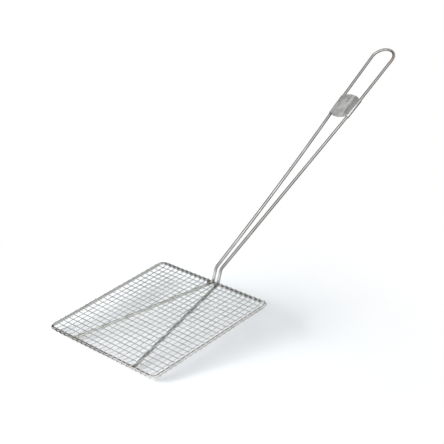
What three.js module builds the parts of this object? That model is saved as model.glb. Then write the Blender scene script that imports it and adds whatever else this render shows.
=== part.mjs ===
// Fish slice: a square blade of welded wire mesh on a bent-wire handle with a sheet grip plate.
// Millimetres, +Z up. The blade lies flat, the handle rises towards +Y, and the two legs under
// the blade touch z = 0. The origin is below the middle of the whole length.

import * as THREE from 'three';

// Blade, measured over the wire ends that wrap round the rim
const bladeWidth = 200;
const bladeLength = 203;
const rimWire = 3.6;
const rimCornerRadius = 6;

// Welded mesh: straight wires across the slice lie on straight wires along it
const meshWire = 1.2;
const longWires = 22;
const crossWires = 22;
const meshLift = 1.5; // middle of the mesh above the middle of the rim
const leftGap = 10.3; // clear gaps from the rim to the first wire: the mesh sits a little off centre
const rightGap = 3.6;
const frontGap = 6.9;
const backGap = 9.7;
const wrapEnd = 115; // degrees round the rim from its outer side, above and below, that a wire's end covers
const wrapClear = 1.2; // room that a wire's wrapped end leaves beside a leg

// Handle: one wire, bent into a loop, two legs, a neck and two spreading feet under the blade
const handleWire = 4;
const neckGap = 9; // between the centres of the two wires at the neck
const heelSetback = 1.9; // from the blade's back edge to the corner of the heel
const heelRadius = 5;
const neckHeight = 20.5; // top corner of the neck above the table
const neckSlope = 65.7; // degrees
const neckRadius = 9;
const legLength = 292; // neck to the foot of the grip plate
const legSlope = 24.8; // degrees
const legBow = 1.2; // how far each leg bows in towards the other
const legSag = 1.2; // how far the legs sag below a straight line
const footWidth = 28.8; // between the wires' centres at the foot of the plate
const loopWidth = 35; // between the wires' centres at the loop
const gripLength = 136.8; // foot of the plate to the outside of the loop
const gripSlope = 26; // degrees
const toeWidth = 112.5; // between the centres of the legs' ends, under the front of the rim
const toeCut = 45; // degrees, slant of the cut ends

// Grip plate: sheet laid over the handle wires, with both sides rolled round them
const plateLength = 34;
const plateSheet = 0.8;
const plateBulge = 5; // how far each end bows out past the rolls
const rollEnd = -135; // degrees, where the rolled edge stops under the wire

// Air between pieces that bear on each other
const seat = 0.3;

// Facets
const rimSides = 8;
const handleSides = 8;
const meshSides = 8;
const cornerSteps = 4;
const bendSteps = 4;
const legSteps = 10;
const loopSteps = 8;
const rollSteps = 10;
const webSteps = 10;

const { degToRad } = THREE.MathUtils;
const across = new THREE.Vector3(1, 0, 0);
const along = new THREE.Vector3(0, 1, 0);
const up = new THREE.Vector3(0, 0, 1);

// A polygon with the area of the round wire, lying with flats to the sides and flats up and down
function wireSection(diameter, sides) {
  const area = Math.PI * diameter ** 2 / 4;
  const corner = Math.sqrt(2 * area / (sides * Math.sin(2 * Math.PI / sides)));
  const flat = corner * Math.cos(Math.PI / sides);
  const outline = Array.from({ length: sides }, (_, k) => {
    const angle = (2 * k + 1) * Math.PI / sides;
    return [corner * Math.cos(angle), corner * Math.sin(angle)];
  });
  return { corner, flat, outline };
}

// Rings of an outline at each point of a path, mitred so that the wire keeps its thickness in a
// bend. side is the direction of the outline's first axis at the start.
function sweepRings(path, side, outline, closed) {
  const last = path.length - 1;
  const direction = (from, to) => to.clone().sub(from).normalize();
  let carried = side.clone();
  return path.map((point, k) => {
    const before = k > 0 ? path[k - 1] : closed && path[last];
    const after = k < last ? path[k + 1] : closed && path[0];
    const into = direction(before || point, before ? point : after);
    const out = direction(after ? point : before, after || point);
    const tangent = into.clone().add(out).normalize();
    carried = carried.addScaledVector(tangent, -carried.dot(tangent)).normalize();
    const normal = tangent.clone().cross(carried);
    const mitre = out.clone().sub(into).normalize();
    const stretch = 1 / tangent.dot(out) - 1;
    return outline.map(([a, b]) => {
      const offset = carried.clone().multiplyScalar(a).addScaledVector(normal, b);
      return point.clone().add(offset.addScaledVector(mitre, offset.dot(mitre) * stretch));
    });
  });
}

// Skin over a row of rings, closed by two flat ends or, for a closed loop, by itself
function skinRings(rings, closed) {
  const sides = rings[0].length;
  const count = rings.length;
  const index = [];
  for (let r = 0; r < (closed ? count : count - 1); r++) {
    for (let s = 0; s < sides; s++) {
      const a = r * sides + s;
      const b = r * sides + (s + 1) % sides;
      const c = (r + 1) % count * sides + (s + 1) % sides;
      const d = (r + 1) % count * sides + s;
      index.push(a, b, c, a, c, d);
    }
  }
  if (!closed) {
    const end = (count - 1) * sides;
    for (let s = 1; s < sides - 1; s++) {
      index.push(0, s + 1, s, end, end + s, end + s + 1);
    }
  }
  const geometry = new THREE.BufferGeometry().setFromPoints(rings.flat());
  geometry.setIndex(index);
  geometry.computeVertexNormals();
  return geometry;
}

// Points of a round bend at the corner between two straight runs
function bend(before, corner, after, radius, steps) {
  const into = corner.clone().sub(before).normalize();
  const out = after.clone().sub(corner).normalize();
  const turn = into.angleTo(out);
  const axis = into.clone().cross(out).normalize();
  const start = corner.clone().addScaledVector(into, -radius * Math.tan(turn / 2));
  const centre = start.clone().addScaledVector(axis.clone().cross(into), radius);
  return Array.from({ length: steps + 1 }, (_, k) =>
    start.clone().sub(centre).applyAxisAngle(axis, turn * k / steps).add(centre));
}

function addPiece(parent, name, geometry, color, roughness) {
  const material = new THREE.MeshStandardMaterial({ color, roughness, metalness: 1 });
  const mesh = new THREE.Mesh(geometry, material);
  mesh.name = name;
  parent.add(mesh);
  return mesh;
}

const rim = wireSection(rimWire, rimSides);
const mesh = wireSection(meshWire, meshSides);
const handle = wireSection(handleWire, handleSides);

// Levels: the legs rest on the table, the rim rests on the legs, and the two layers of the mesh lie
// about level with the top of the rim
const legZ = handle.flat;
const rimZ = legZ + handle.flat + seat + rim.flat;
const layerRise = mesh.flat + seat / 2;
const longZ = rimZ + meshLift - layerRise;
const crossZ = rimZ + meshLift + layerRise;

// Rim centre line, set in from the blade's edge by the wire that wraps round it
const wrapReach = rim.flat + seat + 2 * mesh.flat;
const wrapRadius = (rim.flat + seat + mesh.flat) / Math.cos(Math.PI / rimSides);
const rimX = bladeWidth / 2 - wrapReach;
const rimY = bladeLength / 2 - wrapReach;

// Each set of wires spreads evenly from its first gap to its last
const meshInset = rim.flat + mesh.flat;
const spread = (half, firstGap, lastGap, count) => Array.from({ length: count }, (_, k) =>
  THREE.MathUtils.lerp(firstGap + meshInset - half, half - meshInset - lastGap, k / (count - 1)));
const wireXs = spread(rimX, leftGap, rightGap, longWires);
const wireYs = spread(rimY, frontGap, backGap, crossWires);

// Plan of the legs: from the heel behind the rim out to the toes under its front
const heelX = neckGap / 2;
const heelY = bladeLength / 2 + heelSetback;
const toeX = toeWidth / 2;
const legXAt = (y) => THREE.MathUtils.mapLinear(y, heelY, -rimY, heelX, toeX);

function rimGeometry() {
  const insideX = rimX - rimCornerRadius;
  const insideY = rimY - rimCornerRadius;
  const corners = [[1, 1], [-1, 1], [-1, -1], [1, -1]];
  const path = corners.flatMap(([signX, signY], quarter) =>
    Array.from({ length: cornerSteps + 1 }, (_, k) => {
      const angle = (quarter + k / cornerSteps) * Math.PI / 2;
      return new THREE.Vector3(
        signX * insideX + rimCornerRadius * Math.cos(angle),
        signY * insideY + rimCornerRadius * Math.sin(angle),
        rimZ);
    }));
  return skinRings(sweepRings(path, across, rim.outline, true), true);
}

// A mesh wire seen from its side: straight through all its crossings, then over the rim at both ends
// and tucked under it, or cut short on top. Points are [distance along the wire, height].
function wireProfile(crossings, level, rimHalf, shortAt) {
  const wrap = (end) => {
    const top = Array.from({ length: rimSides / 2 }, (_, k) => (rimSides - 1 - 2 * k) * Math.PI / rimSides)
      .filter((angle) => angle < degToRad(wrapEnd));
    const under = top.map((angle) => -angle).reverse();
    return [...top, ...(shortAt(end) ? [] : under)].map((angle) => [
      end * (rimHalf + wrapRadius * Math.cos(angle)),
      rimZ + wrapRadius * Math.sin(angle)]);
  };
  const straight = [[crossings[0] - meshWire, level], [crossings[crossings.length - 1] + meshWire, level]];
  return [...wrap(-1).reverse(), ...straight, ...wrap(1)];
}

// A wire ends short where a leg passes close under the rim
function nearLeg(x, y) {
  return Math.abs(Math.abs(x) - legXAt(y)) < handle.corner + mesh.flat + wrapClear;
}

function longWireGeometry(k) {
  const x = wireXs[k];
  const profile = wireProfile(wireYs, longZ, rimY, (end) => nearLeg(x, end * rimY));
  const path = profile.map(([y, z]) => new THREE.Vector3(x, y, z));
  return skinRings(sweepRings(path, across, mesh.outline, false), false);
}

function crossWireGeometry(k) {
  const y = wireYs[k];
  const profile = wireProfile(wireXs, crossZ, rimX, () => false);
  const path = profile.map(([x, z]) => new THREE.Vector3(x, y, z));
  return skinRings(sweepRings(path, along, mesh.outline, false), false);
}

// Corners of the handle in side view: top of the neck, and foot of the grip plate
const slope = (degrees) => along.clone().applyAxisAngle(across, degToRad(degrees));
const toe = new THREE.Vector3(toeX, -rimY, legZ);
const heel = new THREE.Vector3(heelX, heelY, legZ);
const neckRun = (neckHeight - legZ) / Math.sin(degToRad(neckSlope));
const neckTop = heel.clone().addScaledVector(slope(neckSlope), neckRun);
const plateFoot = neckTop.clone().addScaledVector(slope(legSlope), legLength).setX(0);

// The grip's plane runs from the foot of the plate to the end of the loop. Its wires spread evenly
// from the foot to where the loop begins. gripPoint takes a place across and along that plane.
const loopRadius = loopWidth / 2;
const loopStart = gripLength - handle.flat - loopRadius;
const gripHalfAt = (y) => THREE.MathUtils.mapLinear(y, 0, loopStart, footWidth / 2, loopRadius);
const gripPoint = (x, y) => slope(gripSlope).multiplyScalar(y).add(plateFoot).setX(x);

// The right half of the handle wire, from its toe to the middle of the loop
function halfHandlePath() {
  const foot = gripPoint(footWidth / 2, 0);
  const legMiddle = neckTop.clone().lerp(foot, 0.5);
  legMiddle.x -= 2 * legBow;
  legMiddle.addScaledVector(slope(legSlope + 90), -2 * legSag);
  const leg = new THREE.QuadraticBezierCurve3(neckTop, legMiddle, foot).getPoints(legSteps);

  const loop = Array.from({ length: loopSteps + 1 }, (_, k) => {
    const angle = k / loopSteps * Math.PI / 2;
    return gripPoint(loopRadius * Math.cos(angle), loopStart + loopRadius * Math.sin(angle));
  });

  return [
    toe,
    ...bend(toe, heel, neckTop, heelRadius, bendSteps),
    ...bend(heel, neckTop, leg[1], neckRadius, bendSteps),
    ...leg.slice(1),
    gripPoint(gripHalfAt(plateLength), plateLength),
    ...loop,
  ];
}

// The left half mirrors the right one, and both share the ring at the middle of the loop. The toes
// are cut on a slant, from the rim's middle line back to the underside.
function handleGeometry() {
  const path = halfHandlePath();
  const beyond = path[path.length - 2].clone();
  beyond.x = -beyond.x;
  const back = heel.clone().sub(toe).normalize();
  const toeSide = back.clone().cross(up);
  const rings = sweepRings([...path, beyond], toeSide, handle.outline, false).slice(0, -1);
  for (const point of rings[0]) {
    point.addScaledVector(back, (legZ + handle.flat - point.z) / Math.tan(degToRad(toeCut)));
  }
  const mirrored = rings.slice(0, -1).reverse().map((ring) =>
    ring.map((point) => new THREE.Vector3(-point.x, point.y, point.z)));
  return skinRings([...rings, ...mirrored], false);
}

// Section of the plate, which lies on the two wires: from one edge rolled under its wire, across the
// web to the other. Each station has the sheet's middle line, as a place out from the wire and a
// height above it, and the direction of the sheet's upper face.
function plateStations() {
  const rollRadius = handle.corner + seat + plateSheet / 2;
  const roll = Array.from({ length: rollSteps + 1 }, (_, k) => {
    const angle = degToRad(THREE.MathUtils.lerp(rollEnd, 90, k / rollSteps));
    return {
      fromWire: rollRadius * Math.cos(angle),
      height: rollRadius * Math.sin(angle),
      face: [Math.cos(angle), Math.sin(angle)],
      share: 1,
    };
  });
  const web = Array.from({ length: webSteps - 1 }, (_, k) => ({
    fromWire: 0,
    height: rollRadius,
    face: [0, 1],
    share: 1 - 2 * (k + 1) / webSteps,
  }));
  const left = roll.slice().reverse();
  return [
    ...roll.map((station) => ({ ...station, side: 1 })),
    ...web.map((station) => ({ ...station, side: 1 })),
    ...left.map((station) => ({ ...station, side: -1 })),
  ];
}

// The plate follows the grip's plane: each station runs from the foot end to the loop end
function plateGeometry() {
  const rings = plateStations().map(({ fromWire, height, face, share, side }) => {
    const bulge = plateBulge * (1 - share ** 2);
    const edge = (y, end, faceSign) => {
      const lift = faceSign * plateSheet / 2;
      const x = side * (share * (gripHalfAt(y) + fromWire) + lift * face[0]);
      return new THREE.Vector3(x, y + end * bulge, height + lift * face[1]);
    };
    return [edge(0, -1, 1), edge(plateLength, 1, 1), edge(plateLength, 1, -1), edge(0, -1, -1)];
  });
  return skinRings(rings, false);
}

const fishSlice = new THREE.Group();

addPiece(fishSlice, 'rim_wire', rimGeometry(), 0x8f8f8a, 0.35);
addPiece(fishSlice, 'handle_wire', handleGeometry(), 0xb8b6af, 0.3);

const plate = addPiece(fishSlice, 'grip_plate', plateGeometry(), 0x9c9c99, 0.45);
plate.position.copy(plateFoot);
plate.rotation.x = degToRad(gripSlope);

const numbered = (name, k) => `${name}_${String(k + 1).padStart(2, '0')}`;
for (let k = 0; k < longWires; k++) {
  addPiece(fishSlice, numbered('long_wire', k), longWireGeometry(k), 0xa3a9ae, 0.35);
}
for (let k = 0; k < crossWires; k++) {
  addPiece(fishSlice, numbered('cross_wire', k), crossWireGeometry(k), 0xa3a9ae, 0.35);
}

// Set the origin on the table, below the middle of the slice
const extent = new THREE.Box3().setFromObject(fishSlice, true);
fishSlice.position.set(0, -(extent.min.y + extent.max.y) / 2, -extent.min.z);

export default fishSlice;
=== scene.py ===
import math

import bmesh
import bpy
from mathutils import Matrix, Vector


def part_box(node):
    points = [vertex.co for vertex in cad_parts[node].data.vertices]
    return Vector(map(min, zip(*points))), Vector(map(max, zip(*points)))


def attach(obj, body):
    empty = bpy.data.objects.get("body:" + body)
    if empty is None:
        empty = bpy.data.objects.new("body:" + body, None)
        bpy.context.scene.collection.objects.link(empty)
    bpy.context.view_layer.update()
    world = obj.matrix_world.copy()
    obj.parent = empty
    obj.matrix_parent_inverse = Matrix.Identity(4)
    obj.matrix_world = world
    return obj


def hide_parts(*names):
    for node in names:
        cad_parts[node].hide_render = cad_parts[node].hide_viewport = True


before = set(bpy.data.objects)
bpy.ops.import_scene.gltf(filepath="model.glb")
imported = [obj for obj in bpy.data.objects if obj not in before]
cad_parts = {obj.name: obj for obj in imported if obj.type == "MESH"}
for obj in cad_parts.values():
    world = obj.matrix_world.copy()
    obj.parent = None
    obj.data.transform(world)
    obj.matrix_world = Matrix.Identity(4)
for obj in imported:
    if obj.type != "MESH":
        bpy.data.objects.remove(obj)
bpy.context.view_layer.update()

mm = 0.001
flatShare = 0.9735  # flats of the frame's eight-sided wires, as a share of the round wire's radius
print("frame loaded:", len(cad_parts), "nodes")


# Places taken from the frame

def middle(node):
    low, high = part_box(node)
    return (low + high) / 2


wireNumbers = range(1, 1 + sum(name.startswith("long_wire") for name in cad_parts))
longNames = [f"long_wire_{k:02d}" for k in wireNumbers]
crossNames = [f"cross_wire_{k:02d}" for k in wireNumbers]
rimMiddle = middle("rim_wire")
bladeFront, bladeBack = (corner.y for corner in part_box(longNames[0]))


# Shared helpers

def toObject(name, mesh, *materials):
    piece = bpy.data.objects.new(name, mesh)
    bpy.context.scene.collection.objects.link(piece)
    for material in materials:
        mesh.materials.append(material)
    return piece


def finishPiece(piece, slot, *nodes):
    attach(piece, "root")
    if nodes:
        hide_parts(*nodes)


def plug(tree, value, socket):  # a value or another node's output into a socket
    if isinstance(value, bpy.types.NodeSocket):
        tree.links.new(value, socket)
    else:
        socket.default_value = value


def calc(tree, operation, *values):
    node = tree.nodes.new("ShaderNodeMath")
    node.operation = operation
    for socket, value in zip(node.inputs, values):
        plug(tree, value, socket)
    return node.outputs[0]


def vectorCalc(tree, operation, *values):
    node = tree.nodes.new("ShaderNodeVectorMath")
    node.operation = operation
    for socket, value in zip(node.inputs, values):
        plug(tree, value, socket)
    return node.outputs["Value"] if operation in ("DISTANCE", "LENGTH") else node.outputs["Vector"]


def ramp(tree, value, fromMin, fromMax, toMin, toMax, kind="LINEAR"):
    node = tree.nodes.new("ShaderNodeMapRange")
    node.interpolation_type = kind
    for socket, given in zip(node.inputs, (value, fromMin, fromMax, toMin, toMax)):
        plug(tree, given, socket)
    return node.outputs["Result"]


def blendColors(tree, share, first, second):
    node = tree.nodes.new("ShaderNodeMix")
    node.data_type = "RGBA"
    plug(tree, share, node.inputs[0])
    plug(tree, first, node.inputs[6])  # its sockets for colours come after those for numbers and vectors
    plug(tree, second, node.inputs[7])
    return node.outputs[2]


def noise(tree, vector, scale, detail=3.0, roughness=0.55):
    node = tree.nodes.new("ShaderNodeTexNoise")
    plug(tree, vector, node.inputs["Vector"])
    plug(tree, scale, node.inputs["Scale"])
    node.inputs["Detail"].default_value = detail
    node.inputs["Roughness"].default_value = roughness
    return node.outputs["Fac"]


# Shader groups

def startGroup(name, inputs, outputs):
    tree = bpy.data.node_groups.new(name, "ShaderNodeTree")
    for label, kind, value in inputs:
        socket = tree.interface.new_socket(label, in_out="INPUT", socket_type=kind)
        if value is not None:
            socket.default_value = value
    for label, kind in outputs:
        tree.interface.new_socket(label, in_out="OUTPUT", socket_type=kind)
    given = tree.nodes.new("NodeGroupInput").outputs
    made = tree.nodes.new("NodeGroupOutput").inputs
    return tree, given, made


drawnLook = {  # fine lines left by the drawing die, and a cloudy tone over them
    "lineScale": 900.0, "lineDetail": 2.0, "lineShare": 0.35, "lineDepth": 0.02 * mm,
    "cloudScale": 60.0, "cloudDetail": 4.0, "cloudRoughness": 0.6,
    "toneRange": (0.36, 0.64), "smooth": 0.12, "rough": 0.24, "roughRange": (0.3, 0.7),
}


def drawnSteelGroup():
    look = drawnLook
    tree, given, made = startGroup(
        "drawnSteel",
        [("Along", "NodeSocketVector", None), ("Place", "NodeSocketVector", None),
         ("Light", "NodeSocketColor", None), ("Dark", "NodeSocketColor", None),
         ("Line Scale", "NodeSocketFloat", look["lineScale"]),
         ("Cloud Scale", "NodeSocketFloat", look["cloudScale"]),
         ("Smooth", "NodeSocketFloat", look["smooth"]), ("Rough", "NodeSocketFloat", look["rough"])],
        [("Color", "NodeSocketColor"), ("Roughness", "NodeSocketFloat"), ("Height", "NodeSocketFloat")])
    lines = noise(tree, given["Along"], given["Line Scale"], look["lineDetail"])
    clouds = noise(tree, given["Place"], given["Cloud Scale"], look["cloudDetail"], look["cloudRoughness"])
    lineTone = calc(tree, "MULTIPLY", lines, look["lineShare"])
    cloudTone = calc(tree, "MULTIPLY", clouds, 1 - look["lineShare"])
    tone = ramp(tree, calc(tree, "ADD", lineTone, cloudTone), *look["toneRange"], 0.0, 1.0, "SMOOTHSTEP")
    plug(tree, blendColors(tree, tone, given["Light"], given["Dark"]), made["Color"])
    roughness = ramp(tree, lines, *look["roughRange"], given["Smooth"], given["Rough"])
    plug(tree, roughness, made["Roughness"])
    plug(tree, lines, made["Height"])
    return tree


weldHeat = {  # straw to brown stain, fading away from each weld and its mirror image
    "reach": 8 * mm, "ragged": 6 * mm, "raggedScale": 400.0, "strength": 0.5, "stain": (0.2, 0.13, 0.065, 1),
}


def weldHeatGroup(spots):
    tree, given, made = startGroup(
        "weldHeat",
        [("Place", "NodeSocketVector", None), ("Reach", "NodeSocketFloat", weldHeat["reach"])],
        [("Mask", "NodeSocketFloat")])
    axes = tree.nodes.new("ShaderNodeSeparateXYZ")
    plug(tree, given["Place"], axes.inputs[0])
    mirrored = tree.nodes.new("ShaderNodeCombineXYZ")
    plug(tree, calc(tree, "ABSOLUTE", axes.outputs["X"]), mirrored.inputs["X"])
    plug(tree, axes.outputs["Y"], mirrored.inputs["Y"])
    plug(tree, axes.outputs["Z"], mirrored.inputs["Z"])
    rise = calc(tree, "SUBTRACT", noise(tree, given["Place"], weldHeat["raggedScale"]), 0.5)
    ragged = calc(tree, "MULTIPLY", rise, weldHeat["ragged"])
    mask = 0.0
    for spot in spots:
        away = calc(tree, "ADD", vectorCalc(tree, "DISTANCE", mirrored.outputs[0], spot), ragged)
        near = ramp(tree, away, 0.0, given["Reach"], 1.0, 0.0, "SMOOTHSTEP")
        mask = calc(tree, "MAXIMUM", near, mask)
    plug(tree, mask, made["Mask"])
    return tree


def placeGroup(tree, group, **values):
    node = tree.nodes.new("ShaderNodeGroup")
    node.node_tree = group
    for label, value in values.items():
        plug(tree, value, node.inputs[label.replace("_", " ")])
    return node.outputs


# Materials

def startMaterial(name, edge):
    material = bpy.data.materials.new(name)
    material.use_nodes = True
    tree = material.node_tree
    shader = tree.nodes["Principled BSDF"]
    shader.inputs["Metallic"].default_value = 1.0
    shader.inputs["Specular Tint"].default_value = edge  # colour at the grazing edge
    return material, tree, shader


def coordinates(tree, stretch=None, uv=False):
    texture = tree.nodes.new("ShaderNodeTexCoord")
    source = texture.outputs["UV" if uv else "Object"]
    if stretch is None:
        return source
    mapping = tree.nodes.new("ShaderNodeMapping")
    mapping.inputs["Scale"].default_value = stretch
    plug(tree, source, mapping.inputs["Vector"])
    return mapping.outputs["Vector"]


def addBump(tree, shader, height, distance, strength=0.4):
    bump = tree.nodes.new("ShaderNodeBump")
    bump.inputs["Strength"].default_value = strength
    bump.inputs["Distance"].default_value = distance
    plug(tree, height, bump.inputs["Height"])
    plug(tree, bump.outputs["Normal"], shader.inputs["Normal"])


shadeGap = (0.8 * mm, 1.5 * mm)  # from the middle of a wire end: the rim's own tone up to the first, painted shade past the second


def wireRow(names, axis):  # the axis, the first wire's place from the rim's middle, and the pitch
    k = "XYZ".index(axis)
    first = middle(names[0])[k]
    last = middle(names[-1])[k]
    return axis, first - rimMiddle[k], (last - first) / (len(names) - 1)


# A patch fills what is inside all its bounds. Each bound is a ramp along one axis, from the rim's middle.

def patchMask(tree, place, patch):
    axes = tree.nodes.new("ShaderNodeSeparateXYZ")
    plug(tree, vectorCalc(tree, "SUBTRACT", place, rimMiddle), axes.inputs[0])
    mask = patch["share"]
    for axis, start, stop in patch["bounds"]:
        at = axes.outputs[axis]
        if patch.get("bothEnds"):
            at = calc(tree, "ABSOLUTE", at)
        mask = calc(tree, "MULTIPLY", ramp(tree, at, start, stop, 0.0, 1.0, "SMOOTHSTEP"), mask)
    if "between" in patch:  # painted shade on the rim between the wire ends, with none right beside them
        axis, first, pitch = patch["between"]
        turns = calc(tree, "DIVIDE", calc(tree, "SUBTRACT", axes.outputs[axis], first), pitch)
        fromWire = calc(tree, "MULTIPLY", calc(tree, "PINGPONG", turns, 0.5), pitch)
        betweenWires = ramp(tree, fromWire, *shadeGap, 0.0, 1.0, "SMOOTHSTEP")
        mask = calc(tree, "MULTIPLY", betweenWires, mask)
    return mask


def wireMaterial(name, finish, steel, heat=None):
    material, tree, shader = startMaterial(name, finish["edge"])
    place = coordinates(tree)
    lines = coordinates(tree, finish["stretch"], finish["followsWire"])  # drawn out along the wire
    drawn = placeGroup(tree, steel, Along=lines, Place=place, Light=finish["light"], Dark=finish["dark"])
    color = drawn["Color"]
    for patch in finish["patches"]:  # a stretch of the wire painted lighter or darker, mostly painted light and shade
        color = blendColors(tree, patchMask(tree, place, patch), color, patch["color"])
    if heat:
        mask = placeGroup(tree, heat, Place=place, Reach=weldHeat["reach"])["Mask"]
        share = calc(tree, "MULTIPLY", mask, weldHeat["strength"])
        color = blendColors(tree, share, color, weldHeat["stain"])
    plug(tree, color, shader.inputs["Base Color"])
    plug(tree, drawn["Roughness"], shader.inputs["Roughness"])
    addBump(tree, shader, drawn["Height"], drawnLook["lineDepth"])
    return material


# Round wire swept along points, with a UV map that runs along and round it. The ends of an open wire
# can be cut on a slant, with the underside shorter.

def sweepWire(name, points, radius, sides, closed, slant=None):
    count = len(points)
    tangents = []
    for k, point in enumerate(points):
        before = points[k - 1] if closed or k > 0 else point
        after = points[(k + 1) % count] if closed or k < count - 1 else point
        tangents.append((after - before).normalized())
    side = tangents[0].orthogonal().normalized()
    if closed:
        side = Vector((0, 0, 1))  # a flat loop keeps this direction all the way round
    rings = []
    lengths = []
    for k, (point, tangent) in enumerate(zip(points, tangents)):
        side = (side - tangent * side.dot(tangent)).normalized()
        up = tangent.cross(side)
        lengths.append(lengths[-1] + (point - points[k - 1]).length if k else 0.0)
        rings.append([point + (side * math.cos(a) + up * math.sin(a)) * radius
                      for a in (2 * math.pi * s / sides for s in range(sides))])
    if slant:
        for end, inward in ((0, tangents[0]), (-1, -tangents[-1])):
            top = points[end].z + radius
            shift = inward / math.tan(math.radians(slant))
            rings[end] = [corner + shift * (top - corner.z) for corner in rings[end]]
    work = bmesh.new()
    uvLayer = work.loops.layers.uv.new("wireUV")
    corners = [[work.verts.new(corner) for corner in ring] for ring in rings]
    for r in range(count if closed else count - 1):
        after = (r + 1) % count
        nextLength = lengths[after] if after else lengths[r] + (points[0] - points[-1]).length
        for s in range(sides):
            n = (s + 1) % sides
            face = work.faces.new((corners[r][s], corners[r][n], corners[after][n], corners[after][s]))
            face.smooth = True
            spots = ((lengths[r], s), (lengths[r], s + 1), (nextLength, s + 1), (nextLength, s))
            for loop, (u, v) in zip(face.loops, spots):
                loop[uvLayer].uv = (u, v / sides)
    if not closed:
        work.faces.new(list(reversed(corners[0])))
        work.faces.new(corners[-1])
    bmesh.ops.recalc_face_normals(work, faces=work.faces)
    mesh = bpy.data.meshes.new(name)
    work.to_mesh(mesh)
    work.free()
    return mesh


def arcPoints(centre, first, second, start, stop, steps):  # first and second are the arc's two half axes
    angles = (math.radians(start + (stop - start) * k / steps) for k in range(steps + 1))
    return [centre + first * math.cos(a) + second * math.sin(a) for a in angles]


def bendPoints(before, corner, after, radius, steps):
    into = (corner - before).normalized()
    out = (after - corner).normalized()
    turn = into.angle(out)
    axis = into.cross(out).normalized()
    start = corner - into * radius * math.tan(turn / 2)
    centre = start + axis.cross(into) * radius
    turns = (Matrix.Rotation(turn * k / steps, 3, axis) for k in range(steps + 1))
    return [centre + part @ (start - centre) for part in turns]


# Rim: one wire bent into a square with round corners

rim = {"radius": 1.8 * mm, "cornerRadius": 6 * mm, "cornerSteps": 14, "sideSteps": 60, "sides": 20}
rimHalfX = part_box("rim_wire")[1].x - rimMiddle.x - rim["radius"] * flatShare
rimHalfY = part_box("rim_wire")[1].y - rimMiddle.y - rim["radius"] * flatShare


def rimPath():
    insideX = rimHalfX - rim["cornerRadius"]
    insideY = rimHalfY - rim["cornerRadius"]
    across = Vector((rim["cornerRadius"], 0, 0))
    along = Vector((0, rim["cornerRadius"], 0))
    corners = []
    for quarter, (signX, signY) in enumerate(((1, 1), (-1, 1), (-1, -1), (1, -1))):
        centre = rimMiddle + Vector((signX * insideX, signY * insideY, 0))
        start = quarter * 90
        corners.append(arcPoints(centre, across, along, start, start + 90, rim["cornerSteps"]))
    path = []
    for corner, following in zip(corners, corners[1:] + corners[:1]):
        path += corner
        path += [corner[-1].lerp(following[0], k / rim["sideSteps"]) for k in range(1, rim["sideSteps"])]
    return path


def inside(side, start, stop):  # a bound of a patch, in millimetres in from the wire on one side of the rim
    axis, half = ("X", rimHalfX) if side in ("left", "right") else ("Y", rimHalfY)
    sign = 1 if side in ("right", "back") else -1
    return axis, sign * (half - start * mm), sign * (half - stop * mm)


# stretches of the rim painted lighter or darker: painted highlights, reflections and shade
leftSide = [inside("left", 5, 2)]
backSide = [inside("back", 5, 2), inside("right", 7, 11)]
backCorner = [inside("right", 8, 4), inside("back", 12, 6)]
frontBand = [inside("front", 5, 2), ("X", 50 * mm, -20 * mm)]
frontLeft = [inside("front", -0.8, -1.3), ("Z", 1.0 * mm, 0.4 * mm), ("X", 60 * mm, 0)]
frontRight = [inside("front", -0.6, -1.2), ("Z", 0.7 * mm, 0.1 * mm), ("X", -20 * mm, 40 * mm),
              inside("right", 6, 20)]
frontInner = [inside("front", 3, 2.2), inside("front", -1.2, -0.6), inside("right", 3, 7)]
rightInner = [inside("right", 3, 2.2), inside("right", -1.1, -0.6), inside("front", 3, 7)]
longRow = wireRow(longNames, "X")
crossRow = wireRow(crossNames, "Y")
rimFinish = {
    "light": (0.89, 0.885, 0.875, 1), "dark": (0.66, 0.655, 0.645, 1), "edge": (0.3, 0.3, 0.3, 1),
    "stretch": (1.0, 0.35, 1.0), "followsWire": True,
    "patches": [
        # painted darker reflection along the left side
        {"bounds": leftSide, "share": 0.85, "color": (0.54, 0.545, 0.5, 1)},
        # painted shade on the back side, between the wire ends
        {"bounds": backSide, "share": 0.85, "color": (0.16, 0.16, 0.147, 1), "between": longRow},
        # painted highlight at the back right corner
        {"bounds": backCorner, "share": 0.9, "color": (1, 1, 0.98, 1)},
        # painted darker reflection along the front's left part
        {"bounds": frontBand, "share": 0.5, "color": (0.66, 0.65, 0.6, 1)},
        # painted shade on the lower outer side of the front, left half
        {"bounds": frontLeft, "share": 0.9, "color": (0.05, 0.05, 0.046, 1)},
        # painted shade on the lower outer side of the front, right half
        {"bounds": frontRight, "share": 0.75, "color": (0.2, 0.195, 0.185, 1)},
        # painted shade on the inner side of the front, between the wire ends
        {"bounds": frontInner, "share": 0.9, "color": (0.08, 0.077, 0.07, 1), "between": longRow},
        # painted shade on the inner side of the right side, between the wire ends
        {"bounds": rightInner, "share": 0.9, "color": (0.1, 0.097, 0.09, 1), "between": crossRow},
    ],
}


# Handle: one wire from toe to toe, by way of the legs, the neck, the grip and the loop

handle = {
    "radius": 2 * mm, "sides": 22, "neckGap": 9 * mm, "heelSetback": 1.9 * mm, "heelRadius": 5 * mm,
    "neckHeight": 20.5 * mm, "neckSlope": 65.7, "neckRadius": 9 * mm,
    "legLength": 292 * mm, "legSlope": 24.8, "legBow": 1.2 * mm, "legSag": 1.2 * mm,
    "footWidth": 28.8 * mm, "loopWidth": 35 * mm, "gripLength": 136.8 * mm, "gripSlope": 26,
    "toeWidth": 112.5 * mm, "toeCut": 45,
    "underSteps": 20, "legSteps": 120, "gripSteps": 50, "bendSteps": 14, "loopSteps": 28,
}


def slope(degrees):
    return Vector((0, math.cos(math.radians(degrees)), math.sin(math.radians(degrees))))


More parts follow.
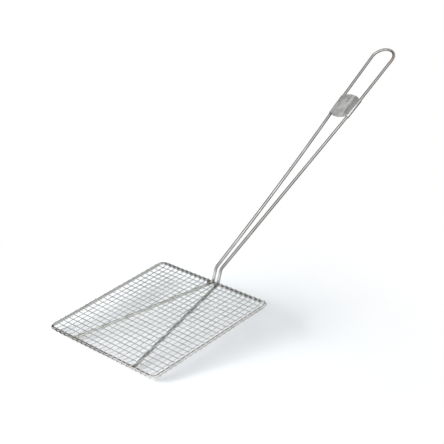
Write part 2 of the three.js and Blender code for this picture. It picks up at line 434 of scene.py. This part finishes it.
legZ = handle["radius"] * flatShare
toe = Vector((handle["toeWidth"] / 2, rimMiddle.y - rimHalfY, legZ))
heel = Vector((handle["neckGap"] / 2, bladeBack + handle["heelSetback"], legZ))
neckRun = (handle["neckHeight"] - legZ) / math.sin(math.radians(handle["neckSlope"]))
neckTop = heel + slope(handle["neckSlope"]) * neckRun
plateFoot = neckTop + slope(handle["legSlope"]) * handle["legLength"]
plateFoot.x = 0
loopRadius = handle["loopWidth"] / 2
loopStart = handle["gripLength"] - handle["radius"] * flatShare - loopRadius


def gripHalfAt(along):
    share = along / loopStart
    return handle["footWidth"] / 2 * (1 - share) + loopRadius * share


def gripPoint(across, along, above=0.0):
    spot = plateFoot + slope(handle["gripSlope"]) * along + slope(handle["gripSlope"] + 90) * above
    return Vector((across, spot.y, spot.z))


def legXAt(y):
    return heel.x + (toe.x - heel.x) * (heel.y - y) / (heel.y - toe.y)


def halfHandlePath():
    heelBend = bendPoints(toe, heel, neckTop, handle["heelRadius"], handle["bendSteps"])
    under = [toe.lerp(heelBend[0], k / handle["underSteps"]) for k in range(handle["underSteps"])]

    foot = gripPoint(handle["footWidth"] / 2, 0)
    legMiddle = neckTop.lerp(foot, 0.5)  # a control point, which stands twice as far off as the curve
    legMiddle -= slope(handle["legSlope"] + 90) * 2 * handle["legSag"]
    legMiddle.x -= 2 * handle["legBow"]
    leg = []
    for k in range(handle["legSteps"] + 1):
        t = k / handle["legSteps"]
        leg.append(neckTop * (1 - t) ** 2 + legMiddle * 2 * t * (1 - t) + foot * t ** 2)
    neckBend = bendPoints(heel, neckTop, leg[1], handle["neckRadius"], handle["bendSteps"])
    pastBend = [point for point in leg if point.y > neckBend[-1].y + handle["radius"] / 2]

    steps = handle["gripSteps"]
    grip = [gripPoint(gripHalfAt(loopStart * k / steps), loopStart * k / steps) for k in range(1, steps)]
    loop = arcPoints(gripPoint(0, loopStart), Vector((loopRadius, 0, 0)),
                     slope(handle["gripSlope"]) * loopRadius, 0, 90, handle["loopSteps"])
    return under + heelBend + neckBend + pastBend + grip + loop


def handlePath():
    right = halfHandlePath()
    left = [Vector((-point.x, point.y, point.z)) for point in reversed(right[:-1])]
    return right + left


# stretches of the handle painted lighter or darker: painted reflections, light and shade, a darker grip and a
# browner loop side
underMesh = inside("back", 2, 8)
gripWires = [("Y", 300 * mm, 430 * mm), ("Y", 500 * mm, 480 * mm)]
neckBow = [inside("back", -8, -12), inside("back", -30, -16)]
rightWire = [("X", 1 * mm, 3 * mm), inside("back", -9, -13), ("Y", 400 * mm, 240 * mm)]
neck = [inside("back", -1, -3), inside("back", -12, -9)]
rightLeg = [("X", 3 * mm, 6 * mm), underMesh]
leftLeg = [("X", -3 * mm, -6 * mm), underMesh]
loopRight = [("X", 6 * mm, 15 * mm), ("Y", 470 * mm, 490 * mm)]
handleFinish = {
    "light": (0.7, 0.695, 0.68, 1), "dark": (0.5, 0.495, 0.48, 1), "edge": (0.3, 0.3, 0.3, 1),
    "stretch": (1.0, 0.35, 1.0), "followsWire": True,
    "patches": [
        {"bounds": gripWires, "share": 0.7, "color": (0.43, 0.43, 0.395, 1)},
        # painted dark reflection on the bend of the neck
        {"bounds": neckBow, "share": 0.6, "color": (0.26, 0.25, 0.23, 1)},
        # painted dark reflection along the right wire
        {"bounds": rightWire, "share": 0.6, "color": (0.33, 0.32, 0.3, 1)},
        # painted highlight on the neck
        {"bounds": neck, "share": 0.25, "color": (0.92, 0.915, 0.9, 1)},
        # painted shade on the right leg under the mesh
        {"bounds": rightLeg, "share": 0.7, "color": (0.3, 0.285, 0.245, 1)},
        # painted light on the left leg under the mesh
        {"bounds": leftLeg, "share": 0.6, "color": (0.72, 0.7, 0.62, 1)},
        {"bounds": loopRight, "share": 0.6, "color": (0.36, 0.23, 0.16, 1)},
    ],
}


# Grip plate: thin sheet laid over the handle wires, with both sides rolled round them

plate = {
    "length": 34 * mm, "sheet": 0.8 * mm, "bulge": 5 * mm, "rollEnd": -135, "clear": 0.06 * mm,
    "rollSteps": 26, "webSteps": 36, "lengthSteps": 26, "edgeRound": 0.22 * mm, "edgeSegments": 2,
    "dent": 0.1 * mm, "dentWaves": (5.1, 2.3, 3.7),  # hand-formed sheet is never quite flat
}
plateFinish = {  # brushed along the grip, with soft cloudy marks and painted shade on the right side
    "edge": (0.5, 0.5, 0.5, 1), "stretch": (1.0, 0.12, 0.12), "depth": 0.03 * mm,
    "steel": {"Light": (0.95, 0.95, 0.935, 1), "Dark": (0.6, 0.6, 0.59, 1), "Line_Scale": 240.0,
              "Cloud_Scale": 95.0, "Smooth": 0.3, "Rough": 0.45},
    # painted shade on the right side of the sheet
    "shadedRight": {"bounds": [("X", 3 * mm, 12 * mm), ("Y", 350 * mm, 410 * mm)],
             "share": 0.6, "color": (0.36, 0.36, 0.35, 1)},
}


# Each place on the section: out from the wire, height, upper face's direction, share of the half width, side

def plateSection():
    rollRadius = handle["radius"] + plate["clear"] + plate["sheet"] / 2
    roll = []
    for k in range(plate["rollSteps"] + 1):
        angle = math.radians(plate["rollEnd"] + (90 - plate["rollEnd"]) * k / plate["rollSteps"])
        facing = (math.cos(angle), math.sin(angle))
        roll.append((rollRadius * facing[0], rollRadius * facing[1], facing, 1.0, 1))
    webShares = [1 - 2 * k / plate["webSteps"] for k in range(1, plate["webSteps"])]
    web = [(0.0, rollRadius, (0.0, 1.0), share, 1) for share in webShares]
    left = [(outward, height, facing, share, -1) for outward, height, facing, share, _ in reversed(roll)]
    return roll + web + left


def plateMesh():
    section = plateSection()
    wave, skew, twist = plate["dentWaves"]
    work = bmesh.new()
    layers = []
    for faceSign in (1, -1):
        grid = []
        for outward, height, facing, share, side in section:
            lift = faceSign * plate["sheet"] / 2
            inWeb = 1 - share ** 2
            row = []
            for k in range(plate["lengthSteps"] + 1):
                t = k / plate["lengthSteps"]
                along = t * plate["length"] + (2 * t - 1) * plate["bulge"] * inWeb
                dent = plate["dent"] * inWeb * math.sin(wave * t + skew * share) * math.cos(twist * share - t)
                across = side * (share * (gripHalfAt(t * plate["length"]) + outward) + lift * facing[0])
                row.append(work.verts.new(gripPoint(across, along, height + lift * facing[1] + dent)))
            grid.append(row)
        layers.append(grid)
    upper, lower = layers
    last = plate["lengthSteps"]
    for top, nextTop, under, nextUnder in zip(upper, upper[1:], lower, lower[1:]):
        for k in range(last):
            work.faces.new((top[k], top[k + 1], nextTop[k + 1], nextTop[k]))
            work.faces.new((under[k], nextUnder[k], nextUnder[k + 1], under[k + 1]))
        work.faces.new((top[0], nextTop[0], nextUnder[0], under[0]))
        work.faces.new((top[last], under[last], nextUnder[last], nextTop[last]))
    for top, under in ((upper[0], lower[0]), (upper[-1], lower[-1])):
        for k in range(last):
            work.faces.new((top[k], under[k], under[k + 1], top[k + 1]))
    bmesh.ops.recalc_face_normals(work, faces=work.faces)
    for face in work.faces:
        face.smooth = True
    mesh = bpy.data.meshes.new("gripPlate")
    work.to_mesh(mesh)
    work.free()
    return mesh


def plateMaterial(steel):
    material, tree, shader = startMaterial("plateSteel", plateFinish["edge"])
    place = coordinates(tree)
    brushed = coordinates(tree, plateFinish["stretch"])
    drawn = placeGroup(tree, steel, Along=brushed, Place=place, **plateFinish["steel"])
    shadedRight = plateFinish["shadedRight"]
    color = blendColors(tree, patchMask(tree, place, shadedRight), drawn["Color"], shadedRight["color"])
    plug(tree, color, shader.inputs["Base Color"])
    plug(tree, drawn["Roughness"], shader.inputs["Roughness"])
    addBump(tree, shader, drawn["Height"], plateFinish["depth"])
    return material


# Welded mesh: straight wires in two layers, with every end bent over the rim and round it

wireMesh = {
    "radius": 0.6 * mm, "lift": 1.5 * mm, "layerRise": 0.56 * mm, "wrapClear": 0.02 * mm, "wrapTurn": 203,
    "shortTurn": 60, "shortRoom": 1.2 * mm, "endFlare": 1.25, "wander": 0.25 * mm, "wanderScale": 14.0,
    "steps": 84, "straightShare": 0.34, "climbShare": 0.62, "sides": 10,
}
meshMiddle = Vector(((middle(longNames[0]).x + middle(longNames[-1]).x) / 2,
                     (middle(crossNames[0]).y + middle(crossNames[-1]).y) / 2,
                     rimMiddle.z + wireMesh["lift"]))
meshInputs = {
    "Int": ("Wires", "Steps", "Sides"),
    "Float": ("First", "Pitch", "First Crossing", "Last Crossing", "Rim Middle", "Rim Half", "Rim Height",
              "Level", "Wire Radius", "Wrap Radius", "Wrap Turn", "Short Turn", "Leg Ahead", "Leg Behind",
              "Short Within", "End Flare", "Wander", "Wander Scale", "Straight Share", "Climb Share"),
    "Bool": ("Across",),
    "Material": ("Material",),
}


def meshTree():
    tree = bpy.data.node_groups.new("meshWires", "GeometryNodeTree")
    tree.interface.new_socket("Geometry", in_out="INPUT", socket_type="NodeSocketGeometry")
    for kind, labels in meshInputs.items():
        for label in labels:
            tree.interface.new_socket(label, in_out="INPUT", socket_type="NodeSocket" + kind)
    tree.interface.new_socket("Geometry", in_out="OUTPUT", socket_type="NodeSocketGeometry")
    given = tree.nodes.new("NodeGroupInput").outputs
    made = tree.nodes.new("NodeGroupOutput").inputs

    def add(kind, **values):
        node = tree.nodes.new(kind)
        for label, value in values.items():
            plug(tree, value, node.inputs[label.replace("_", " ")])
        return node

    def do(operation, *values):
        return calc(tree, operation, *values)

    # strands, one for each wire, from -1 to 1 along Y
    firstSpot = add("ShaderNodeCombineXYZ", X=given["First"]).outputs[0]
    nextSpot = add("ShaderNodeCombineXYZ", X=given["Pitch"]).outputs[0]
    row = add("GeometryNodeMeshLine", Count=given["Wires"], Start_Location=firstSpot, Offset=nextSpot)
    line = add("GeometryNodeCurvePrimitiveLine", Start=(0, -1, 0), End=(0, 1, 0))
    strand = add("GeometryNodeResampleCurve", Curve=line.outputs["Curve"], Count=given["Steps"])
    copies = add("GeometryNodeInstanceOnPoints", Points=row.outputs["Mesh"],
                 Instance=strand.outputs["Curve"])
    strands = add("GeometryNodeRealizeInstances", Geometry=copies.outputs["Instances"])

    spot = add("ShaderNodeSeparateXYZ", Vector=tree.nodes.new("GeometryNodeInputPosition").outputs[0])
    x = spot.outputs["X"]
    end = do("SIGN", spot.outputs["Y"])
    reach = do("ABSOLUTE", spot.outputs["Y"])

    # an end is cut short where a leg passes close under the rim
    legHere = ramp(tree, end, -1.0, 1.0, given["Leg Ahead"], given["Leg Behind"])
    fromLeg = do("ABSOLUTE", do("SUBTRACT", do("ABSOLUTE", x), legHere))
    short = do("LESS_THAN", fromLeg, given["Short Within"])
    turn = ramp(tree, short, 0.0, 1.0, given["Wrap Turn"], given["Short Turn"])

    # straight to the last crossing, then up to the top of the rim, then round it
    ahead = do("SUBTRACT", given["Rim Middle"], given["First Crossing"])
    behind = do("SUBTRACT", given["Last Crossing"], given["Rim Middle"])
    lastCrossing = ramp(tree, end, -1.0, 1.0, ahead, behind)
    toRim = do("SUBTRACT", given["Rim Half"], lastCrossing)
    straight = ramp(tree, reach, 0.0, given["Straight Share"], 0.0, lastCrossing)
    out = do("ADD", straight, ramp(tree, reach, given["Straight Share"], given["Climb Share"], 0.0, toRim))
    climb = ramp(tree, reach, given["Straight Share"], given["Climb Share"], 0.0, 1.0, "SMOOTHSTEP")
    angle = ramp(tree, reach, given["Climb Share"], 1.0, 0.0, turn)
    outward = do("ADD", out, do("MULTIPLY", given["Wrap Radius"], do("SINE", angle)))
    onRim = do("MULTIPLY", given["Wrap Radius"], do("COSINE", angle))
    along = do("ADD", given["Rim Middle"], do("MULTIPLY", end, outward))
    overMesh = do("MULTIPLY", given["Level"], do("SUBTRACT", 1.0, climb))
    height = do("ADD", overMesh, do("MULTIPLY", onRim, climb))

    # no wire is quite straight
    ideal = add("ShaderNodeCombineXYZ", X=x, Y=along).outputs[0]
    drift = do("SUBTRACT", noise(tree, ideal, given["Wander Scale"], 1.0), 0.5)
    aside = do("ADD", x, do("MULTIPLY", drift, given["Wander"]))

    level = do("ADD", height, given["Rim Height"])
    lengthwise = add("ShaderNodeCombineXYZ", X=aside, Y=along, Z=level).outputs[0]
    crosswise = add("ShaderNodeCombineXYZ", X=along, Y=aside, Z=level).outputs[0]
    choose = tree.nodes.new("GeometryNodeSwitch")
    choose.input_type = "VECTOR"
    plug(tree, given["Across"], choose.inputs["Switch"])
    plug(tree, lengthwise, choose.inputs["False"])
    plug(tree, crosswise, choose.inputs["True"])
    shaped = add("GeometryNodeSetPosition", Geometry=strands.outputs[0], Position=choose.outputs[0])

    # a round section, a little thicker where the ends go round the rim
    section = add("GeometryNodeCurvePrimitiveCircle", Radius=given["Wire Radius"],
                  Resolution=given["Sides"])
    flare = ramp(tree, reach, given["Straight Share"], given["Climb Share"], 1.0, given["End Flare"])
    skin = add("GeometryNodeCurveToMesh", Curve=shaped.outputs[0], Profile_Curve=section.outputs["Curve"],
               Scale=flare)
    skin.inputs["Fill Caps"].default_value = True
    smooth = add("GeometryNodeSetShadeSmooth", Geometry=skin.outputs[0])
    whole = add("GeometryNodeRealizeInstances", Geometry=smooth.outputs[0])
    dressed = add("GeometryNodeSetMaterial", Geometry=whole.outputs[0], Material=given["Material"])
    plug(tree, dressed.outputs[0], made["Geometry"])
    return tree


def meshPiece(name, tree, values):
    carrier = toObject(name + "Nodes", bpy.data.meshes.new(name + "Start"))
    modifier = carrier.modifiers.new("wires", "NODES")
    modifier.node_group = tree
    sockets = {item.name: item.identifier for item in tree.interface.items_tree if item.in_out == "INPUT"}
    for label, value in values.items():
        modifier[sockets[label]] = value
    evaluated = carrier.evaluated_get(bpy.context.evaluated_depsgraph_get())
    made = bpy.data.meshes.new_from_object(evaluated)
    made.name = name
    carrier.modifiers.remove(modifier)
    bpy.data.objects.remove(carrier)
    return toObject(name, made)


def meshValues(across, material):
    names, crossedNames = (crossNames, longNames) if across else (longNames, crossNames)
    axis, other = (1, 0) if across else (0, 1)
    rimHalf, layer = (rimHalfX, 1) if across else (rimHalfY, -1)
    first = middle(names[0])[axis]
    last = middle(names[-1])[axis]
    return {
        "Wires": len(wireNumbers), "First": first, "Pitch": (last - first) / (len(wireNumbers) - 1),
        "First Crossing": middle(crossedNames[0])[other], "Last Crossing": middle(crossedNames[-1])[other],
        "Rim Middle": rimMiddle[other], "Rim Half": rimHalf, "Rim Height": rimMiddle.z,
        "Level": wireMesh["lift"] + layer * wireMesh["layerRise"], "Wire Radius": wireMesh["radius"],
        "Wrap Radius": rim["radius"] + wireMesh["radius"] + wireMesh["wrapClear"],
        "Wrap Turn": math.radians(wireMesh["wrapTurn"]), "Short Turn": math.radians(wireMesh["shortTurn"]),
        "Leg Ahead": toe.x, "Leg Behind": legXAt(rimMiddle.y + rimHalfY),
        "Short Within": 0.0 if across else handle["radius"] + wireMesh["radius"] + wireMesh["shortRoom"],
        "End Flare": wireMesh["endFlare"], "Wander": wireMesh["wander"],
        "Wander Scale": wireMesh["wanderScale"],
        "Straight Share": wireMesh["straightShare"], "Climb Share": wireMesh["climbShare"],
        "Steps": wireMesh["steps"], "Sides": wireMesh["sides"], "Across": across, "Material": material,
    }


# wire ends and parts of the mesh painted lighter or darker: painted highlights and shade on the ends, painted
# light and shade across the mesh, and darker grey front ends on the left
# painted highlight where the wire ends wrap the rim
paleEnds = {"share": 0.9, "color": (0.9, 0.9, 0.88, 1)}
greyEnds = {"share": 0.8, "color": (0.4, 0.39, 0.37, 1)}
# painted shade on the outer side of the front wire ends
darkEnds = {"share": 0.9, "color": (0.06, 0.06, 0.055, 1)}
frontEnds = inside("front", 3, 1)
frontTips = inside("front", -0.8, -1.6)
# painted shade on the wires over the mesh's left back
backLeft = {"bounds": [("X", -30 * mm, -80 * mm), ("Y", -20 * mm, 60 * mm)],
            "share": 0.5, "color": (0.38, 0.39, 0.4, 1)}
# painted reflection: paler long wires towards the front
frontPale = {"bounds": [("Y", 40 * mm, -40 * mm), ("X", -100 * mm, -40 * mm)],
             "share": 0.7, "color": (0.96, 0.97, 0.98, 1)}
# painted light on the rightmost long wire
rightPale = {"bounds": [("X", 78 * mm, 92 * mm)], "share": 0.6, "color": (0.96, 0.97, 0.98, 1)}
longFinish = {
    "light": (0.725, 0.76, 0.77, 1), "dark": (0.505, 0.53, 0.54, 1), "edge": (0.3, 0.3, 0.32, 1),
    "stretch": (1.0, 0.06, 1.0), "followsWire": False,
    "patches": [
        backLeft, frontPale, rightPale,
        {**paleEnds, "bounds": [inside("back", 3, 1)]},
        {**paleEnds, "bounds": [frontEnds, ("X", -40 * mm, 30 * mm)]},
        {**greyEnds, "bounds": [frontEnds, ("X", 30 * mm, -40 * mm)]},
        {**darkEnds, "bounds": [frontTips, ("X", 50 * mm, -10 * mm),
                                ("Z", 2.0 * mm, 1.4 * mm), ("Z", 0.1 * mm, 0.6 * mm)]},
        {**paleEnds, "bounds": [frontTips, ("Z", 0.6 * mm, 0.1 * mm)]},
    ],
}
crossFinish = {
    "light": (0.755, 0.79, 0.8, 1), "dark": (0.545, 0.57, 0.58, 1), "edge": (0.3, 0.3, 0.32, 1),
    "stretch": (0.06, 1.0, 1.0), "followsWire": False,
    "patches": [backLeft, {**paleEnds, "bothEnds": True, "bounds": [inside("right", 3, 1)]}],
}


# Welds in the corner between each leg and the inner side of the rim

weld = {"half": Vector((2.3, 1.9, 1.3)) * mm, "inside": 1.7 * mm, "above": 0.8 * mm,
        "rings": 10, "segments": 16, "ripple": 0.07, "rippleWaves": (5, 3)}
weldFinish = {
    "light": (0.42, 0.39, 0.35, 1), "dark": (0.22, 0.19, 0.165, 1), "edge": (0.3, 0.3, 0.3, 1),
    "stretch": (1.0, 1.0, 1.0), "followsWire": False, "patches": [],
}
weldZ = legZ + handle["radius"] + weld["above"]
backWeldY = rimMiddle.y + rimHalfY - weld["inside"]
backWeld = Vector((legXAt(backWeldY), backWeldY, weldZ))
frontWeldY = rimMiddle.y - rimHalfY + weld["inside"]
frontWeld = Vector((legXAt(frontWeldY), frontWeldY, weldZ))


def weldsMesh():
    waveX, waveY = weld["rippleWaves"]
    work = bmesh.new()
    for spot in (backWeld, frontWeld):
        for sign in (1, -1):
            ball = bmesh.ops.create_uvsphere(work, u_segments=weld["segments"], v_segments=weld["rings"],
                                             radius=1)
            for vert in ball["verts"]:
                ripple = 1 + weld["ripple"] * math.sin(waveX * vert.co.x + waveY * vert.co.y + sign)
                vert.co = Vector((sign * spot.x, spot.y, spot.z)) + vert.co * weld["half"] * ripple
    for face in work.faces:
        face.smooth = True
    made = bpy.data.meshes.new("rimWelds")
    work.to_mesh(made)
    work.free()
    return made


# Dress the slice

steel = drawnSteelGroup()
heat = weldHeatGroup([backWeld, frontWeld])
rimSteel = wireMaterial("rimSteel", rimFinish, steel, heat)
handleSteel = wireMaterial("handleSteel", handleFinish, steel, heat)
longSteel = wireMaterial("longWireSteel", longFinish, steel)
crossSteel = wireMaterial("crossWireSteel", crossFinish, steel)
weldSteel = wireMaterial("weldSteel", weldFinish, steel, heat)
print("materials made")

rimSweep = sweepWire("rimLoop", rimPath(), rim["radius"], rim["sides"], True)
finishPiece(toObject("rimLoop", rimSweep, rimSteel), "frame_wire", "rim_wire")
handleSweep = sweepWire("handleLoop", handlePath(), handle["radius"], handle["sides"], False,
                        handle["toeCut"])
finishPiece(toObject("handleLoop", handleSweep, handleSteel), "frame_wire", "handle_wire")
platePiece = toObject("gripPlate", plateMesh(), plateMaterial(steel))
edges = platePiece.modifiers.new("edges", "BEVEL")
edges.width = plate["edgeRound"]
edges.segments = plate["edgeSegments"]
edges.limit_method = "ANGLE"
finishPiece(platePiece, "grip_plate", "grip_plate")
finishPiece(toObject("rimWelds", weldsMesh(), weldSteel), "frame_wire")
print("rim, handle, plate and welds made")

wires = meshTree()
longPiece = meshPiece("longWires", wires, meshValues(False, longSteel))
finishPiece(longPiece, "mesh_wire", *longNames)
crossPiece = meshPiece("crossWires", wires, meshValues(True, crossSteel))
finishPiece(crossPiece, "mesh_wire", *crossNames)
print("mesh made:", len(longPiece.data.polygons) + len(crossPiece.data.polygons), "faces")


# Floor, light and camera

floor = {
    "half": 4.0, "lean": 8.6, "color": (0.972, 0.97, 0.979, 1),
    "whiteFrom": 0.2, "whiteTo": 0.38,  # pure white in view beyond this
    "dimFrom": 0.12, "dimTo": 0.3, "dim": 0.7,  # the steel mirrors a dim room out there,
    "dimBehind": (-0.05, 0.12),  # but only behind the blade
    "slant": 0.173,  # the blade stands up off the floor, so what shows through it slants
    # painted light under the mesh, and a painted soft shadow under its left back
    "lit": {"bounds": [("X", -80 * mm, -50 * mm), ("X", 86 * mm, 70 * mm), ("Y", 140 * mm, 110 * mm)],
            "share": 0.3},
    "shade": {"bounds": [("X", -128 * mm, -80 * mm), ("X", -38 * mm, -74 * mm),
                         ("Y", -60 * mm, 50 * mm), ("Y", 150 * mm, 106 * mm)],
              "share": 0.23, "color": (0, 0, 0, 1)},
}
lamps = {
    "key": {"from": (-1.75, -2.35, 1.6), "size": (4.2, 2.2), "power": 292.0, "mirrored": False},
    "top": {"from": (0.3, 0.5, 1.9), "size": (1.6, 1.6), "power": 6.0, "mirrored": False},
    "glint": {"from": (0.7, 0.1, 1.4), "size": (0.7, 0.7), "power": 1.9, "mirrored": True},
}
world = {"ambient": 0.3, "tint": (0.86, 0.96, 1.0, 1), "white": (1, 1, 1, 1)}  # cool in the shadows
cardSteps = 48
cardColor = (0.03, 0.03, 0.032, 1)
lens = {"focal": 91.143, "fromMesh": (952.34 * mm, -764.04 * mm, 739.29 * mm),
        "turn": 46.928, "dip": 26.913, "roll": 6.726}


def bearingArc(radius, start, stop):  # round the blade, from one bearing to another
    centre = Vector((0, rimMiddle.y, 0))
    return arcPoints(centre, Vector((radius, 0, 0)), Vector((0, radius, 0)), start, stop, cardSteps)


cards = {  # dark cards that only the steel mirrors
    "horizonCard": {"path": bearingArc(1.6, 8, 245), "low": -0.7, "high": 0.28},
    "backCard": {"path": bearingArc(1.5, 135, 190), "low": -0.7, "high": 1.5},
    "neckCard": {"path": [Vector((-0.3, -0.12, 0)), Vector((-0.3, 0.12, 0))], "low": 0.34, "high": 0.66},
    "overCard": {"path": [Vector((-0.3, -0.5, 0)), Vector((-0.3, 0.75, 0))], "low": 0.66, "high": 3.4},
}


def rayIs(tree, *kinds):  # 1 for rays of any of these kinds
    path = tree.nodes.new("ShaderNodeLightPath").outputs
    found = 0.0
    for kind in kinds:
        found = calc(tree, "MAXIMUM", path[f"Is {kind} Ray"], found)
    return found


def slantedPlace(tree):  # on the floor, with X shifted to follow the long wires where they show against it
    axes = tree.nodes.new("ShaderNodeSeparateXYZ")
    plug(tree, coordinates(tree), axes.inputs[0])
    back = calc(tree, "SUBTRACT", axes.outputs["Y"], rimMiddle.y)
    place = tree.nodes.new("ShaderNodeCombineXYZ")
    plug(tree, calc(tree, "MULTIPLY_ADD", back, floor["slant"], axes.outputs["X"]), place.inputs["X"])
    plug(tree, axes.outputs["Y"], place.inputs["Y"])
    return place.outputs[0]


def paperMaterial():
    material = bpy.data.materials.new("whitePaper")
    material.use_nodes = True
    tree = material.node_tree
    tree.nodes.clear()
    away = vectorCalc(tree, "DISTANCE", coordinates(tree), rimMiddle)
    whiteShare = ramp(tree, away, floor["whiteFrom"], floor["whiteTo"], 0.0, 1.0, "SMOOTHSTEP")
    dim = ramp(tree, away, floor["dimFrom"], floor["dimTo"], 0.0, floor["dim"], "SMOOTHSTEP")
    behind = {"bounds": [("Y", *floor["dimBehind"])], "share": dim}
    dim = patchMask(tree, coordinates(tree), behind)
    slanted = slantedPlace(tree)
    # painted light: white under the mesh, added to the white in view
    whiteShare = calc(tree, "MAXIMUM", whiteShare, patchMask(tree, slanted, floor["lit"]))
    # painted shadow: the floor's colour darkened under the mesh's left back
    shade = floor["shade"]
    color = blendColors(tree, patchMask(tree, slanted, shade), floor["color"], shade["color"])
    paper = tree.nodes.new("ShaderNodeBsdfDiffuse")
    plug(tree, color, paper.inputs["Color"])
    white = tree.nodes.new("ShaderNodeEmission")
    dark = tree.nodes.new("ShaderNodeEmission")
    dark.inputs["Strength"].default_value = 0.0
    clear = tree.nodes.new("ShaderNodeBsdfTransparent")
    below = tree.nodes.new("ShaderNodeNewGeometry").outputs["Backfacing"]  # seen from below, it isn't there
    whiteSeen = calc(tree, "MULTIPLY", whiteShare, rayIs(tree, "Camera", "Transmission"))
    dimMirrored = calc(tree, "MULTIPLY", dim, rayIs(tree, "Glossy"))
    surface = paper
    for share, cover in ((whiteSeen, white), (dimMirrored, dark), (below, clear)):
        mix = tree.nodes.new("ShaderNodeMixShader")
        plug(tree, share, mix.inputs[0])
        tree.links.new(surface.outputs[0], mix.inputs[1])
        tree.links.new(cover.outputs[0], mix.inputs[2])
        surface = mix
    target = tree.nodes.new("ShaderNodeOutputMaterial")
    tree.links.new(surface.outputs[0], target.inputs["Surface"])
    return material


def makeFloor():
    touch = Vector((0, bladeFront, 0))  # the front edge is what stands on the floor
    lean = math.radians(floor["lean"])
    work = bmesh.new()
    bmesh.ops.create_grid(work, x_segments=1, y_segments=1, size=floor["half"])
    work.transform(Matrix.Translation(touch) @ Matrix.Rotation(-lean, 4, "X"))
    made = bpy.data.meshes.new("floor")
    work.to_mesh(made)
    work.free()
    toObject("floor", made, paperMaterial())


def makeCards():  # only mirrored rays meet them: they draw the dark lines along the wires
    material = bpy.data.materials.new("darkCard")
    material.use_nodes = True
    shader = material.node_tree.nodes["Principled BSDF"]
    shader.inputs["Base Color"].default_value = cardColor
    shader.inputs["Roughness"].default_value = 1.0
    shader.inputs["Specular IOR Level"].default_value = 0.0
    for name, values in cards.items():
        heights = (Vector((0, 0, values["low"])), Vector((0, 0, values["high"])))
        corners = [point + height for point in values["path"] for height in heights]
        faces = [(2 * k, 2 * k + 2, 2 * k + 3, 2 * k + 1) for k in range(len(values["path"]) - 1)]
        made = bpy.data.meshes.new(name)
        made.from_pydata(corners, [], faces)
        card = toObject(name, made, material)
        card.visible_camera = False
        card.visible_diffuse = False
        card.visible_shadow = False
        card.visible_transmission = False
        card.visible_volume_scatter = False


def makeLamps():
    aim = Vector((0, rimMiddle.y, 0))
    for name, values in lamps.items():
        data = bpy.data.lights.new(name, "AREA")
        data.shape = "RECTANGLE"
        data.size, data.size_y = values["size"]
        data.energy = values["power"]
        lamp = bpy.data.objects.new(name, data)
        lamp.location = aim + Vector(values["from"])
        lamp.rotation_mode = "QUATERNION"
        lamp.rotation_quaternion = (aim - lamp.location).to_track_quat("-Z", "Y")
        lamp.visible_glossy = values["mirrored"]
        lamp.visible_diffuse = not values["mirrored"]
        bpy.context.scene.collection.objects.link(lamp)


def makeWorld():
    sky = bpy.data.worlds.new("studio")
    sky.use_nodes = True
    bpy.context.scene.world = sky
    tree = sky.node_tree
    background = tree.nodes["Background"]
    seen = rayIs(tree, "Camera", "Glossy", "Transmission")
    plug(tree, blendColors(tree, seen, world["tint"], world["white"]), background.inputs["Color"])
    plug(tree, ramp(tree, seen, 0.0, 1.0, world["ambient"], 1.0), background.inputs["Strength"])


def makeCamera():
    data = bpy.data.cameras.new("camera")
    data.lens = lens["focal"]
    camera = bpy.data.objects.new("camera", data)
    turn = Matrix.Rotation(math.radians(lens["turn"]), 4, "Z")
    dip = Matrix.Rotation(math.radians(90 - lens["dip"]), 4, "X")
    roll = Matrix.Rotation(-math.radians(lens["roll"]), 4, "Z")
    camera.matrix_world = Matrix.Translation(meshMiddle + Vector(lens["fromMesh"])) @ turn @ dip @ roll
    bpy.context.scene.collection.objects.link(camera)
    bpy.context.scene.camera = camera


makeFloor()
makeCards()
makeLamps()
makeWorld()
makeCamera()
bpy.context.scene.view_settings.view_transform = "Standard"
print("floor, light and camera set")
